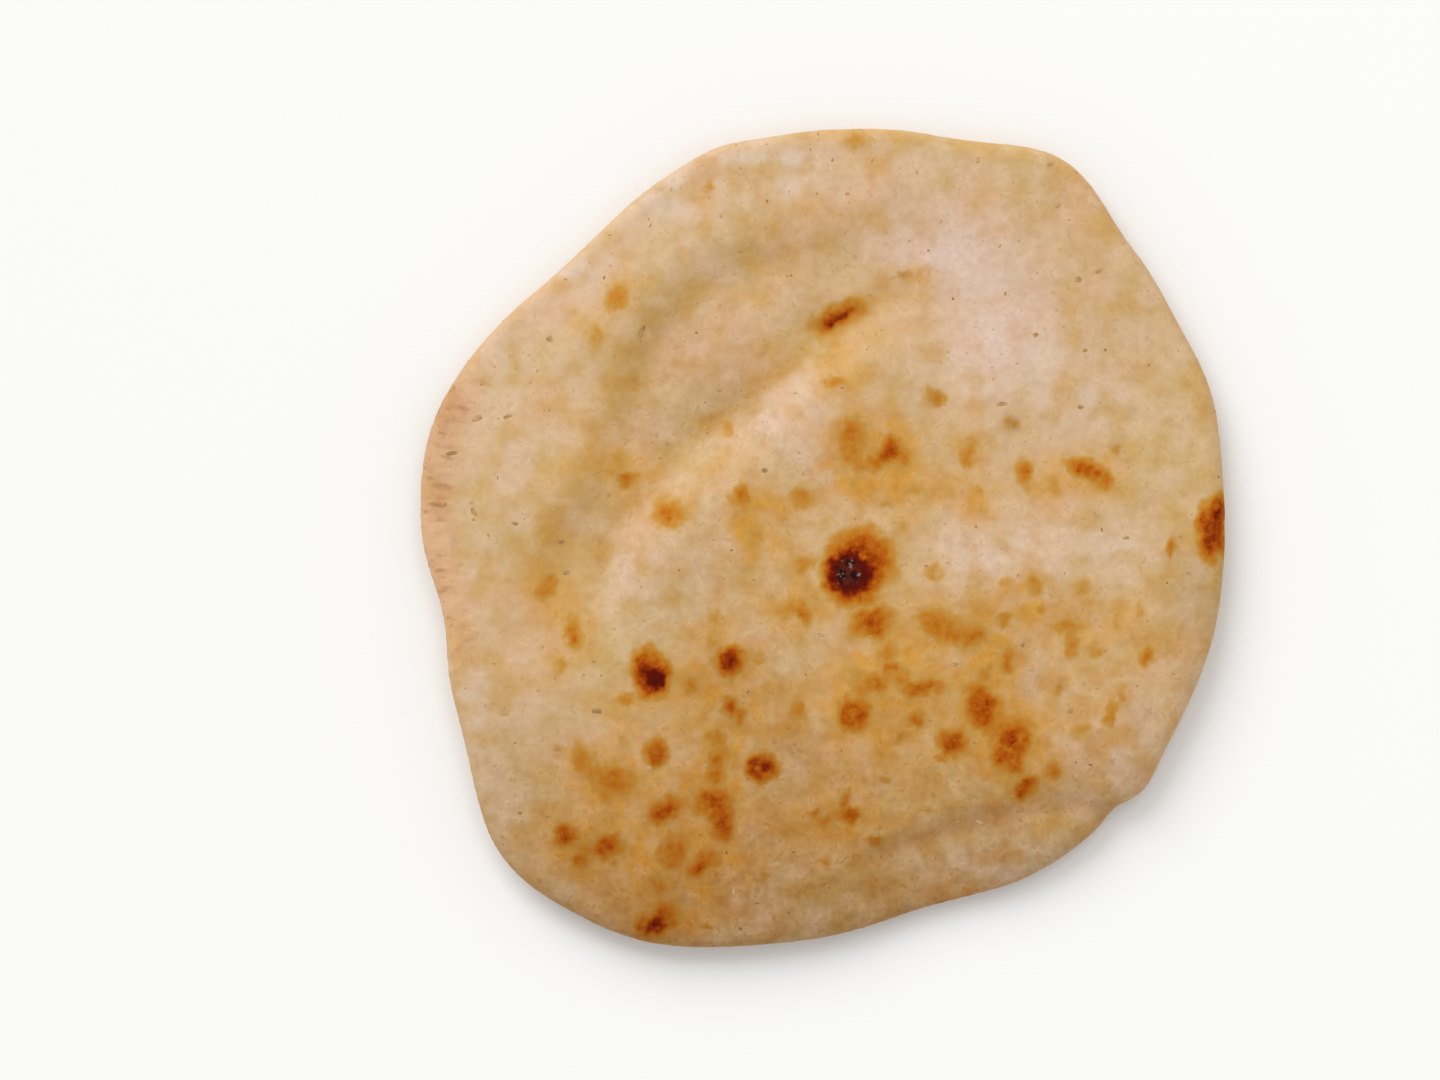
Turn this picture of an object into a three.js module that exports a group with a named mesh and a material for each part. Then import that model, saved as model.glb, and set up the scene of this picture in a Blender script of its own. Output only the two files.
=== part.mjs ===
// A round pocket flatbread, baked, cooled and lying flat on its bottom crust.
// It is one solid in millimetres, +Z up, with its origin under the middle of its box.
// The top crust has slumped into two long folds beside a puffed pillow, and a crease runs in from the rim.
import * as THREE from "three";

// Driving sizes
const REACH = 95.2; // from the loaf's middle to its rim, where nothing bulges
const RIM_THICKNESS = 8.6; // of the loaf inside its rim, where nothing puffs
const RIM_ROUNDING = 4.8; // how far in from the rim the rounding starts, on average
const ROUNDING_RANGE = 1.2; // how much blunter the rim is on its blunt side than on average
const BLUNT_SIDE = 300; // azimuth of the bluntest stretch of rim, in degrees
const RIM_SPLIT = 0.47; // height of the rim's outermost line, as a share of the thickness
const FOOT_SHARE = 0.6; // share of the reach that lies flat on the table
const RIM_LIFT = 3.0; // how far the bottom crust curls up at the rim
const RIM_THINNING = 2.2; // how much thinner the loaf gets towards its rim
const THINNING_FROM = 0.78; // share of the reach where that starts
const DOME_RISE = 4.8; // of the puffed pocket above the rim's thickness
const DOME_CENTRE = new THREE.Vector2(10, -8);
const DOME_REACH = new THREE.Vector2(92, 84);

// The lattice: each ring of the top crust holds six points more than the ring inside it
const TOP_RINGS = 35;
const RIM_RINGS = 6; // of them, on the rounded rim
const FOOT_RINGS = 11; // on the smoother bottom crust, inside its rounded rim
const FOLD_STEPS = 60; // pieces of a fold's route

// Where the outline leaves the round: azimuth and spread in degrees, swell in millimetres
const RIM_SWELLS = [
  { name: "east shoulder", azimuth: 23, swell: 3.4, spread: 8.5 },
  { name: "north-east flank", azimuth: 39, swell: 3.0, spread: 5.5 },
  { name: "north-east corner", azimuth: 57, swell: 11.2, spread: 8.5 },
  { name: "north edge", azimuth: 78, swell: 3.0, spread: 7.5 },
  { name: "north crest", azimuth: 92, swell: 0.8, spread: 5 },
  { name: "north-west knuckle", azimuth: 104.5, swell: 1.2, spread: 4 },
  { name: "north-west flat", azimuth: 132.5, swell: -6.4, spread: 12.5 },
  { name: "west bulge", azimuth: 165, swell: 1.3, spread: 7 },
  { name: "west waist", azimuth: 191.5, swell: -3.6, spread: 6 },
  { name: "south-west lobe", azimuth: 224.2, swell: 8.8, spread: 8.6 },
  { name: "south lobe", azimuth: 242.5, swell: 9.4, spread: 11.8 },
  { name: "south flat", azimuth: 286, swell: -4.0, spread: 9 },
  { name: "south-east notch", azimuth: 317.3, swell: -1.7, spread: 1.9 },
  { name: "south-east lip", azimuth: 321.5, swell: 1.9, spread: 4 },
  { name: "east bulge", azimuth: 347, swell: 0.5, spread: 5 },
];

// Folds of the top crust: a route in plan, a groove along it, and a bank that rises beside it.
// A positive bank is on the left of the route's direction and a negative one on its right.
// The ramp is the width of the bank's slope and carry is how far the bank reaches before it dies away.
// A fold grows in and fades out over the stated shares of its route.
const FOLDS = [
  {
    name: "pillow edge",
    route: [
      [-55, -62],
      [-57.5, -42],
      [-57, -26],
      [-54.5, -12],
      [-50, 0],
      [-43, 10.5],
      [-34, 19.5],
      [-22, 28],
      [-11, 38],
      [0, 48],
      [10, 55],
      [22, 61],
      [36, 66],
      [52, 70],
    ],
    groove: 0.7,
    width: 6.5,
    bank: -4.6,
    ramp: 14,
    carry: 29,
    growIn: [0.12, 0.4],
    fadeOut: [0.66, 0.86],
  },
  {
    name: "outer fold",
    route: [
      [-80, -42],
      [-69, -24],
      [-61, -9],
      [-54, 4],
      [-48, 15],
      [-43, 30],
      [-37, 45],
      [-29, 55],
      [-17, 61],
      [-3, 64.5],
      [13, 66],
      [32, 67],
    ],
    groove: 0.7,
    width: 6,
    bank: 2.7,
    ramp: 12,
    carry: 27,
    growIn: [0.06, 0.34],
    fadeOut: [0.7, 0.97],
  },
  {
    name: "notch crease",
    route: [
      [80, -68],
      [69.4, -63.5],
      [51.6, -63.3],
      [33.9, -67.3],
      [18.5, -72.7],
      [0, -79],
    ],
    groove: 1.5,
    width: 5.5,
    bank: 0.8,
    ramp: 7,
    carry: 14,
    growIn: [0, 0.12],
    fadeOut: [0.4, 1],
  },
];

// Broad rises and hollows of the top crust: place, half-widths, height, and how far the long axis is turned
const RISES = [
  { name: "east ridge", at: [54, -9], half: [34, 12], height: 1.2, turn: -2 },
  { name: "middle lobe", at: [-17, 48], half: [21, 7.5], height: 1.3, turn: 40 },
  { name: "south-east hollow", at: [52, -32], half: [24, 12], height: -0.7, turn: 8 },
  { name: "south roll", at: [-20, -82], half: [36, 10], height: 0.9, turn: -3 },
  { name: "north-east shoulder", at: [40, 40], half: [24, 17], height: 0.9, turn: -25 },
  { name: "south-west cheek", at: [-50, -44], half: [20, 24], height: 0.7, turn: 30 },
  { name: "north-west cheek", at: [-62, 40], half: [9, 26], height: 0.5, turn: -32 },
];

// Low ripples of the crust in plan: wavelength, direction in degrees, phase and height
const RIPPLES = [
  { length: 47, direction: 8, phase: 0.4, height: 0.16 },
  { length: 38, direction: 78, phase: 2.1, height: 0.15 },
  { length: 29, direction: 134, phase: 3.7, height: 0.12 },
  { length: 23, direction: 172, phase: 5.2, height: 0.09 },
  { length: 19, direction: 101, phase: 1.3, height: 0.07 },
  { length: 16, direction: 39, phase: 4.4, height: 0.05 },
];

// Slow waves round the rim: how many to a turn, their phase, and what they add to its lift and thickness
const RIM_WAVES = [
  { count: 2, phase: 0.9, lift: 0.9, thickness: 0.5 },
  { count: 3, phase: 2.3, lift: 0.5, thickness: 0.35 },
  { count: 5, phase: 4.1, lift: 0.35, thickness: 0.2 },
  { count: 11, phase: 0.5, lift: 0.12, thickness: 0.12 },
];

const CRUST_COLOUR = 0xd7b584;
const CRUST_ROUGHNESS = 0.78;

const { degToRad, euclideanModulo, smoothstep } = THREE.MathUtils;
const FULL_TURN = 2 * Math.PI;

// The rim's distance from the middle, at an azimuth in radians.
function rimReach(azimuth) {
  let reach = REACH;
  for (const swell of RIM_SWELLS) {
    const away = euclideanModulo(azimuth - degToRad(swell.azimuth) + Math.PI, FULL_TURN) - Math.PI;
    reach += swell.swell * Math.exp(-0.5 * (away / degToRad(swell.spread)) ** 2);
  }
  return reach;
}

// The sum of the rim's slow waves at an azimuth, for its lift or its thickness.
function rimWave(azimuth, kind) {
  return RIM_WAVES.reduce((sum, wave) => sum + wave[kind] * Math.sin(wave.count * azimuth + wave.phase), 0);
}

// Each fold with its route cut into short straight pieces.
const cutFolds = FOLDS.map((fold) => {
  const curve = new THREE.SplineCurve(fold.route.map(([x, y]) => new THREE.Vector2(x, y)));
  return { ...fold, points: curve.getSpacedPoints(FOLD_STEPS) };
});

// Where a point lies beside a fold: the share of the route passed, and the distance to its left.
function placeBeside(points, point) {
  let nearest = { distance: Infinity };
  for (let i = 0; i < points.length - 1; i++) {
    const along = points[i + 1].clone().sub(points[i]);
    const offset = point.clone().sub(points[i]);
    const passed = THREE.MathUtils.clamp(offset.dot(along) / along.lengthSq(), 0, 1);
    const distance = offset.clone().addScaledVector(along, -passed).length();
    if (distance < nearest.distance) {
      const left = Math.sign(along.cross(offset)) * distance;
      nearest = { distance, left, share: (i + passed) / (points.length - 1) };
    }
  }
  return nearest;
}

// How much a fold lifts the crust at a point.
function foldLift(fold, point) {
  const { distance, left, share } = placeBeside(fold.points, point);
  const strength = smoothstep(share, ...fold.growIn) * (1 - smoothstep(share, ...fold.fadeOut));
  const uphill = Math.sign(fold.bank) * left;
  const slope = smoothstep(uphill, -0.15 * fold.ramp, fold.ramp);
  const bank = Math.abs(fold.bank) * slope * Math.exp(-((distance / fold.carry) ** 2));
  return strength * (bank - fold.groove * Math.exp(-((distance / fold.width) ** 2)));
}

// How much a broad rise lifts the crust at a point.
function riseLift({ at, half, height, turn }, point) {
  const local = point.clone().rotateAround(new THREE.Vector2(...at), -degToRad(turn)).sub(new THREE.Vector2(...at));
  return height * Math.exp(-((local.x / half[0]) ** 2) - (local.y / half[1]) ** 2);
}

// How much a ripple lifts the crust at a point.
function rippleLift({ length, direction, phase, height }, point) {
  const along = point.x * Math.cos(degToRad(direction)) + point.y * Math.sin(degToRad(direction));
  return height * Math.sin((FULL_TURN * along) / length + phase);
}

// Height of the bottom crust: flat on the table, and curling up towards the rim.
function baseHeight(share, azimuth) {
  return (RIM_LIFT + rimWave(azimuth, "lift")) * smoothstep(share, FOOT_SHARE, 1.08) ** 1.4;
}

// Thickness of the loaf from the bottom crust to the top crust.
function thickness(share, azimuth, point) {
  const fromDome = point.clone().sub(DOME_CENTRE).divide(DOME_REACH).length();
  const relief = [
    ...cutFolds.map((fold) => foldLift(fold, point)),
    ...RISES.map((rise) => riseLift(rise, point)),
    ...RIPPLES.map((ripple) => rippleLift(ripple, point)),
  ].reduce((sum, lift) => sum + lift, 0);
  const dome = DOME_RISE * (1 - smoothstep(fromDome, 0.1, 1.08));
  const nearRim = smoothstep(share, THINNING_FROM, 1);
  const bare = RIM_THICKNESS - RIM_THINNING * nearRim + rimWave(azimuth, "thickness") * share ** 2;
  return bare + dome + relief * (1 - 0.8 * nearRim);
}

// A point of the loaf's skin, at a share of the way across the flat of a crust and then a turn round its rim.
function skinPoint(flatShare, turn, azimuth, onTop) {
  const reach = rimReach(azimuth);
  const rounding = RIM_ROUNDING + ROUNDING_RANGE * Math.cos(azimuth - degToRad(BLUNT_SIDE));
  const distance = (reach - rounding) * flatShare + rounding * Math.sin(turn);
  const plan = new THREE.Vector2(distance * Math.cos(azimuth), distance * Math.sin(azimuth));
  const share = distance / reach;
  const base = baseHeight(share, azimuth);
  const full = thickness(share, azimuth, plan);
  const middle = base + RIM_SPLIT * full;
  const away = onTop ? (1 - RIM_SPLIT) * full : -RIM_SPLIT * full;
  return new THREE.Vector3(plan.x, plan.y, middle + away * Math.cos(turn));
}

// A ring of evenly turned points of one crust.
function ringOf(count, flatShare, turn, onTop) {
  return Array.from({ length: count }, (_, i) => skinPoint(flatShare, turn, (FULL_TURN * i) / count, onTop));
}

// One crust as rings from its middle to the rim's outermost line.
function crustRings(flatRings, onTop) {
  const rimCount = 6 * TOP_RINGS;
  const firstCount = rimCount - 6 * RIM_RINGS;
  const rings = [ringOf(1, 0, 0, onTop)];
  for (let k = 1; k <= flatRings; k++) {
    rings.push(ringOf(6 * Math.round((firstCount * k) / flatRings / 6), k / flatRings, 0, onTop));
  }
  for (let k = 1; k <= RIM_RINGS; k++) {
    rings.push(ringOf(firstCount + 6 * k, 1, (k / RIM_RINGS) * (Math.PI / 2), onTop));
  }
  return rings;
}

// Triangles between two rings, always stepping on along the ring that is behind.
function stitch(inner, outer, addTriangle) {
  let i = 0;
  let j = 0;
  while (i < inner.length || j < outer.length) {
    const innerNext = inner.length > 1 ? (i + 1) / inner.length : Infinity;
    const outerNext = (j + 1) / outer.length;
    const here = [inner[i % inner.length], outer[j % outer.length]];
    if (outerNext <= innerNext + 1e-9 && j < outer.length) {
      addTriangle(here[0], here[1], outer[(j + 1) % outer.length]);
      j += 1;
    } else if (inner.length > 1) {
      addTriangle(here[0], here[1], inner[(i + 1) % inner.length]);
      i += 1;
    } else {
      break;
    }
  }
}

// The whole skin, with the middle of its box over the origin and its foot on the table.
function loafGeometry() {
  const positions = [];
  for (const onTop of [true, false]) {
    const rings = crustRings(onTop ? TOP_RINGS - RIM_RINGS : FOOT_RINGS, onTop);
    const addTriangle = (a, b, c) => {
      for (const p of onTop ? [a, b, c] : [a, c, b]) positions.push(p.x, p.y, p.z);
    };
    for (let k = 1; k < rings.length; k++) stitch(rings[k - 1], rings[k], addTriangle);
  }
  const geometry = new THREE.BufferGeometry();
  geometry.setAttribute("position", new THREE.Float32BufferAttribute(positions, 3));
  geometry.computeBoundingBox();
  const middle = geometry.boundingBox.getCenter(new THREE.Vector3());
  geometry.translate(-middle.x, -middle.y, -geometry.boundingBox.min.z);
  geometry.computeVertexNormals();
  return geometry;
}

const crustMaterial = new THREE.MeshStandardMaterial({
  name: "baked_crust",
  color: CRUST_COLOUR,
  roughness: CRUST_ROUGHNESS,
  metalness: 0,
});

const loaf = new THREE.Mesh(loafGeometry(), crustMaterial);
loaf.name = "loaf";

const bread = new THREE.Group();
bread.add(loaf);

export default bread;
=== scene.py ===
"""The looks of one round pocket flatbread, in metres, +Z up.

The crust starts as a copy of the loaf's solid. It is remeshed finely, painted with the loaf's own toasted
spots, stains and folds, and with painted shade and a painted sheen, as named attributes, and given its
blisters, puckers and pleats by a tree of geometry nodes. A second tree strews bran flakes over it, and the
dark flecks that show best are placed one by one.
"""
import math

import bpy
import numpy as np
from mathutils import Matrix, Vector


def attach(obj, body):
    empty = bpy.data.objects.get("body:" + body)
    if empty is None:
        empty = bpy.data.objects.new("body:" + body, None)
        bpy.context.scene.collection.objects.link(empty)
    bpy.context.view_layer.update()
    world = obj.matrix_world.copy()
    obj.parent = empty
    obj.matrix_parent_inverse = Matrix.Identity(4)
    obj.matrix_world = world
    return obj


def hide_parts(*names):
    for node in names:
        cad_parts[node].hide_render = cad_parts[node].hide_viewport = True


MM = 0.001

# The crust's mesh
WELD_REACH = 0.002 * MM
ROUNDING_LEVELS = 2
VOXEL = 0.84 * MM
SMOOTHING = 0.5
SMOOTHING_STEPS = 3

# The photographed frame: its width at the loaf, where its middle falls, and how far the camera stands back
FRAME_WIDTH = 341.1 * MM
FRAME_MIDDLE = (-24.2 * MM, -0.5 * MM)
RIM_HEIGHT = 6 * MM
CAMERA_HEIGHT = 1.05
SENSOR_WIDTH = 36.0

# Toasted spots on the top crust, in mm and degrees: how far east and north of the middle, half the size
# either way, and how far the spot is turned anticlockwise
CHARRED = [(5.8, -8.6, 2.4, 2.7, 0)]
BURNT = [(6.6, -8.6, 6.2, 5.8, 0), (-39.4, -33.8, 1.9, 2.9, 10)]
SCORCHED = [(8.6, -6.8, 8.3, 7.2, 65), (92.2, 1.3, 3.3, 6.5, 0)]
DARK_SPOTS = [
    (-40.9, -32.3, 3.9, 5.2, 15), (-21.8, -29.4, 3.4, 3.1, 0), (93.6, 4.2, 1.9, 5.2, 0),
    (-14.5, -54.3, 3.3, 3, -10), (-39.6, -91.4, 3.2, 2.3, 35), (3.8, 52.1, 4.9, 1.8, 27),
]
BROWN_SPOTS = [
    (12, -20.1, 4.5, 3.5, 8), (3.8, 52.3, 5.8, 2.6, 26), (15.8, 19.8, 3.8, 2.6, 10),
    (63, 16, 4.4, 2.2, -20), (23.6, -35.4, 4.6, 2, 5), (7.4, -41.6, 3.4, 3.6, 0),
    (37.5, -39.8, 3.6, 4.9, 20), (45.3, -48.5, 4.1, 5.5, -8), (31, -48.6, 3.1, 3.1, 0),
    (48, -59.4, 3.4, 2.2, 27), (-39.3, -51, 2.4, 3.2, -15), (-37.6, -64.8, 4.6, 2.5, 28),
    (-25.8, -62.6, 4, 3.2, -10), (-23.8, -67.5, 2.5, 4.3, 0), (-60.9, -71, 2.9, 2.3, 0),
    (-51, -73.2, 3.6, 3, 0), (6.4, -65.6, 3.2, 1.7, -5), (-38.8, -90.6, 4.8, 3.3, 35),
    (-29, -78, 3.3, 1.5, 38), (-22, -39.8, 1.9, 2.2, 0), (42.6, -52.4, 1.8, 1.6, 0),
    (45.4, -49.4, 3, 3.8, 0), (7.6, -42, 2.4, 2.6, 0), (38, -40.5, 2.4, 3.4, 15),
]
AMBER_SPOTS = [
    (-36.4, 5.9, 3.6, 2.9, 0), (6.2, 24.8, 2.6, 3.2, 0), (17, 22.4, 1.9, 2.6, 0), (82.8, -2, 1.2, 2.2, -10),
    (13, 18, 3, 2, 20), (12.6, -34.4, 2.6, 2.2, 0), (-27, -76, 2.2, 2, 0), (27, -20.2, 4.3, 3, -18),
    (-49.4, -57.4, 4.7, 3.6, -12), (44.2, -28.8, 1.6, 2.9, -8), (-57.5, -76.3, 2.2, 1.9, 0),
    (-34.8, -74.4, 2.6, 4.2, -14), (-28.9, -78.1, 3.7, 1.8, 38), (48, 15.4, 1.9, 3, 5),
    (77, -27.8, 1.4, 2.3, -5), (66.4, 13.6, 1.9, 1.9, 0), (54.4, -55.3, 2.2, 1.9, 0),
    (-58.9, -22.8, 2.1, 3, 0), (31, -23.6, 2.1, 2, 0), (36.1, -23, 3.1, 2.7, 0), (-19, 9.3, 2, 2.7, 0),
    (13, -72, 2.3, 1.2, 0), (-19.4, -42, 1.5, 2, 0), (-46.1, 14, 2.2, 1.8, 0), (16.8, -31, 2.2, 2, 0),
    (22.2, -43.1, 2.3, 2.2, 0), (5, -62.4, 1.3, 2.2, 0), (-2, -65.1, 1.6, 0.9, 0),
    (-25.4, -56.4, 2.1, 2.3, 0), (-24.4, -52.2, 2, 3, 0), (-4.3, -17.6, 2, 2.7, 0),
    (-35.3, -91.2, 1.8, 1.3, 0),
]
GOLDEN_SPOTS = [
    (7.6, 24, 3.2, 4.4, 0), (6.8, 20, 2.2, 2.4, 0), (-4.6, 9.6, 2.7, 2.4, 0), (-38, -75.2, 1.7, 1.8, 0),
    (57.8, -20.6, 3.6, 1.5, 5), (59, -25.2, 1.6, 3, 0), (-48.4, 57, 1.9, 3, -20), (9.5, -36, 2.6, 2.6, 0),
    (26.7, 33.4, 2, 2.1, 0), (2.9, 37, 2.3, 1.7, 0), (34.6, 20, 1.9, 3.4, 0), (9.4, 17, 3.4, 1.6, 0),
    (19.4, 18.2, 1.7, 1.9, 0), (15.6, -27.2, 2.1, 2.8, 0), (19, -33.5, 2.4, 1.8, -30),
    (43.4, -19.6, 1.8, 1.6, 0), (38.8, -32.3, 1.7, 2, 0), (49.5, -44, 1.7, 1.7, 0),
    (-51.2, -61.2, 1.8, 1.8, 0), (-56.8, -52.6, 2.7, 3.3, 0), (-53.6, -56.4, 1.9, 1.6, 0),
    (-48.5, -56.5, 4.4, 2.3, -8), (-25.4, -47, 2.4, 2.4, 0), (-55.6, -74, 4.2, 1.5, -8),
    (-38.8, -82.3, 2.9, 2.1, 0), (-66.8, -13, 1.6, 1.6, 0), (-64.6, -11, 1.8, 2.6, 0),
    (49.8, -10.9, 1.6, 2.2, 0), (68.4, -42.2, 1, 3.2, -5), (-30.6, -34.8, 2, 2, 0),
    (28, -52.6, 2, 0.7, -35), (-4.3, -6.2, 2.2, 2.2, 0), (52, -17, 1.2, 1.3, 0), (-6, -40.3, 1.8, 2.4, 0),
    (18.7, -47, 1.7, 1.5, 0), (1, -67, 3, 1.6, 0), (-46.1, -38.5, 2.4, 1.8, 0), (-7.5, -17, 2.8, 2.2, 0),
    (-27.7, -92.4, 1.5, 0.9, 0),
]
FAINT_SPOTS = [
    (-34.6, -81.6, 1.8, 1.8, 0), (14.5, -57.3, 1.8, 1.6, 0), (14.6, 8.2, 2.4, 1.1, 0),
    (70.6, -37.4, 1.5, 2.8, 0), (-48, 18.2, 2.4, 2, 0), (7.5, 13.2, 1.2, 2.2, 0), (22, 11.3, 3.1, 1.7, 0),
    (37, 10.8, 1.5, 1.4, 0), (37.6, 6.6, 1.4, 1.2, 0), (54.6, 12.4, 1.7, 2.5, 0), (69.6, 21.2, 1.2, 1.4, 0),
    (19.6, 2.4, 1.6, 1.3, 0), (44.6, 27.3, 1.6, 1.6, 0), (19.2, 62.3, 1.6, 0.9, 0),
    (-50.4, -65.6, 2.3, 2.3, 0), (8, 94.4, 3.1, 2.4, 0), (10, -33, 4.8, 2.2, -25), (13.8, -51, 2.1, 1.7, 0),
    (26.4, -8.4, 2.4, 2, 0), (43.8, -10.6, 2, 1.3, 0), (61.5, -11.8, 1.8, 1.8, 0),
    (36.7, -16.4, 1.2, 1.1, 0), (-13.7, -80, 1.6, 1.8, 0), (24.2, -64.6, 2, 1.4, 0),
    (75, -17.4, 1.1, 2.2, 0), (70, -19.8, 1.3, 2.2, 0), (64.6, -26.4, 2.5, 1.9, 0),
    (56.2, -35.3, 1.6, 2.6, -10), (61.6, -45.7, 2.3, 1.5, 0), (-46.7, -47.6, 1.4, 1.8, 0),
    (-62.6, -50, 1.2, 0.8, 0), (-24, -87, 0.9, 0.7, 0), (-8, -69, 3, 1.8, 0), (28.6, -86.6, 2.4, 1.3, 0),
    (-27, 83, 1.2, 2, 0), (-22.6, 25.8, 1.7, 1.3, 0), (-25.5, -19, 1.8, 2.8, 0),
    (-59.4, -19.2, 1.6, 2.2, 0), (-62, -30.2, 1.8, 1.8, 0), (-32, -33.8, 3.2, 2.4, 0),
    (-54, 47.8, 2.4, 2.4, 0), (-15.8, 0.5, 2, 4, 0), (-15.6, -28.4, 1.8, 1.8, 0), (-25.6, -25, 1.8, 1.8, 0),
    (0.5, -76.8, 2.2, 1.2, 0),
]
# Places where a spot's skin has flaked: east, north and half-widths in mm, and how much toasting is lost
FLAKED = [
    (-14.8, -54.4, 0.6, 0.6, 0.45), (7, -41.4, 0.8, 0.8, 0.14), (43.6, -50.4, 1.2, 0.8, 0.2),
    (46.6, -47, 0.8, 1.2, 0.2), (-1.6, -11, 0.8, 0.8, 0.2), (9.4, -3.6, 1, 0.7, 0.2),
]
# How toasted each kind of spot is, from 0 for bare crust to 1 for nearly burnt, and how abruptly it ends
TONES = [
    (BURNT, 1.0, 5), (SCORCHED, 0.74, 4), (DARK_SPOTS, 0.8, 3), (BROWN_SPOTS, 0.65, 2.6),
    (AMBER_SPOTS, 0.53, 2.3), (GOLDEN_SPOTS, 0.42, 2.2), (FAINT_SPOTS, 0.29, 2),
]
# How much wider than its measured size a spot spreads, and how fast its toasting falls off there
SPOT_SPREAD = 1.07
SPOT_FALL = 0.65
# The golden glow round a spot: the spot is widened by the margin, in mm, the glow reaches that many times
# its size, and each spot adds its share where they crowd together
GLOW_MARGIN = 1
GLOW_REACH = 2.0
GLOW_SHARE = 0.38
# Waves that lead the spots' edges astray, in mm: how far, and how long they are
STRAY_WAVES = [(0.5, 3.2), (0.3, 1.3)]
STRAY_SEEDS = (31, 33)

# The foot's own spots can't be seen, so they are strewn by rule: how toasted each kind is, and its share
FOOT_SPOT_KINDS = [(0.75, 0.15), (0.55, 0.35), (0.35, 0.5)]
FOOT_SPOT_COUNT = 70
FOOT_SPOT_REACH = 78
FOOT_SPOT_SIZES = (1.4, 4.2)
FOOT_SEED = 11

# Lines that the folds draw on the crust, in mm: their routes and half-widths, and the shares of a line's
# length over which it fades in and out
PILLOW_LINE = [
    (33, 57.5), (29, 60.5), (22, 61.5), (14, 58.5), (8, 54), (-7, 42), (-18.5, 33), (-31.5, 23),
    (-43, 12.5), (-50.5, 1.5), (-54.5, -10), (-56, -22),
]
OUTER_LINE = [
    (-31, 59), (-37, 57), (-41, 52), (-44.5, 45), (-47.5, 36), (-52, 25), (-58.5, 12), (-64, 3), (-69, -7),
    (-73, -18),
]
NOTCH_LINE = [(73, -65), (60, -63), (51.6, -63.3), (33.9, -67.3), (18.5, -72.7), (4, -77)]
PILLOW_HALF_WIDTH = 2.8
OUTER_HALF_WIDTH = 4.0
NOTCH_HALF_WIDTH = 2.8
LINE_FADES_IN = (0, 0.12)
LINE_FADES_OUT = (0.85, 1)
# How olive the two long lines are, and how deep the pillow's crease is beside the notch's; the creases are
# also painted darker, as painted shade
PILLOW_OLIVE = 0.8
OUTER_OLIVE = 0.82
PILLOW_CREASE = 0.25

# Soft stains of the top crust, and patches of painted light as noted: place and half-widths in mm, and how
# much of the stain's colour it gets
GOLDEN_STAINS = [
    (-55, -74, 8, 5, 0.45), (-31, -74, 10, 10, 1.0), (-25, -50, 4, 9, 0.8), (-40, -78, 8, 8, 0.2),
    (14, 21, 6, 7, 0.6), (22, 13, 8, 7, 0.25), (37, 15, 4, 8, 0.5), (45, -18, 7, 5, 0.1),
    (-12, 12, 8, 8, 0.2), (15, -33, 13, 7, 0.6), (34, -24.5, 8, 5, 0.3), (42, -31, 6, 6, 0.5),
    (38, -46, 8, 8, 0.28), (50, -56, 9, 5, 0.2), (6, 42.5, 6, 7, 0.3), (-17, 2, 6, 9, 0.6),
    (-6, -15, 8, 8, 0.3), (9, -42, 7, 8, 0.75), (2, -67, 12, 5, 0.25), (-31, -36, 9, 6, 0.6),
    (62, 14, 10, 6, 0.2), (-66, -8, 8, 8, 0.3), (-12, -48, 8, 11, 0.6), (-22, -35, 9, 7, 0.6),
    (-50, 16, 6, 5, 0.35), (-11, 70, 9, 7, 0.45), (25, 62, 4, 2, 0.5), (57, 70, 10, 9, 0.1),
    (40, -62, 12, 4, 0.25), (-5, -57, 8, 5, 0.12), (-28.5, -67, 7.5, 7.5, 0.65), (-34, -78, 8, 8, 0.4),
    (-54, -87, 5, 3, 0.3), (11, -88, 8, 4, 0.25), (-19.2, -82.2, 2.2, 1.8, 0.6), (55.5, -18, 7, 5, 0.5),
    (47, -14, 6, 4, 0.42), (32, -83, 6, 3, 0.55), (-13, 2, 5, 6, 0.42), (74, 40, 5, 5, 0.3),
    (-0.5, 10, 5, 5, 0.2), (21.5, -37, 7, 4, 0.55), (-33, -67.5, 5, 5, 0.45), (-34, -82, 5, 4, 0.5),
    (24, -85, 4, 3, 0.3), (15, -39, 5, 4, 0.25), (23, 8.5, 6, 4, 0.3),
]
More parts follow.
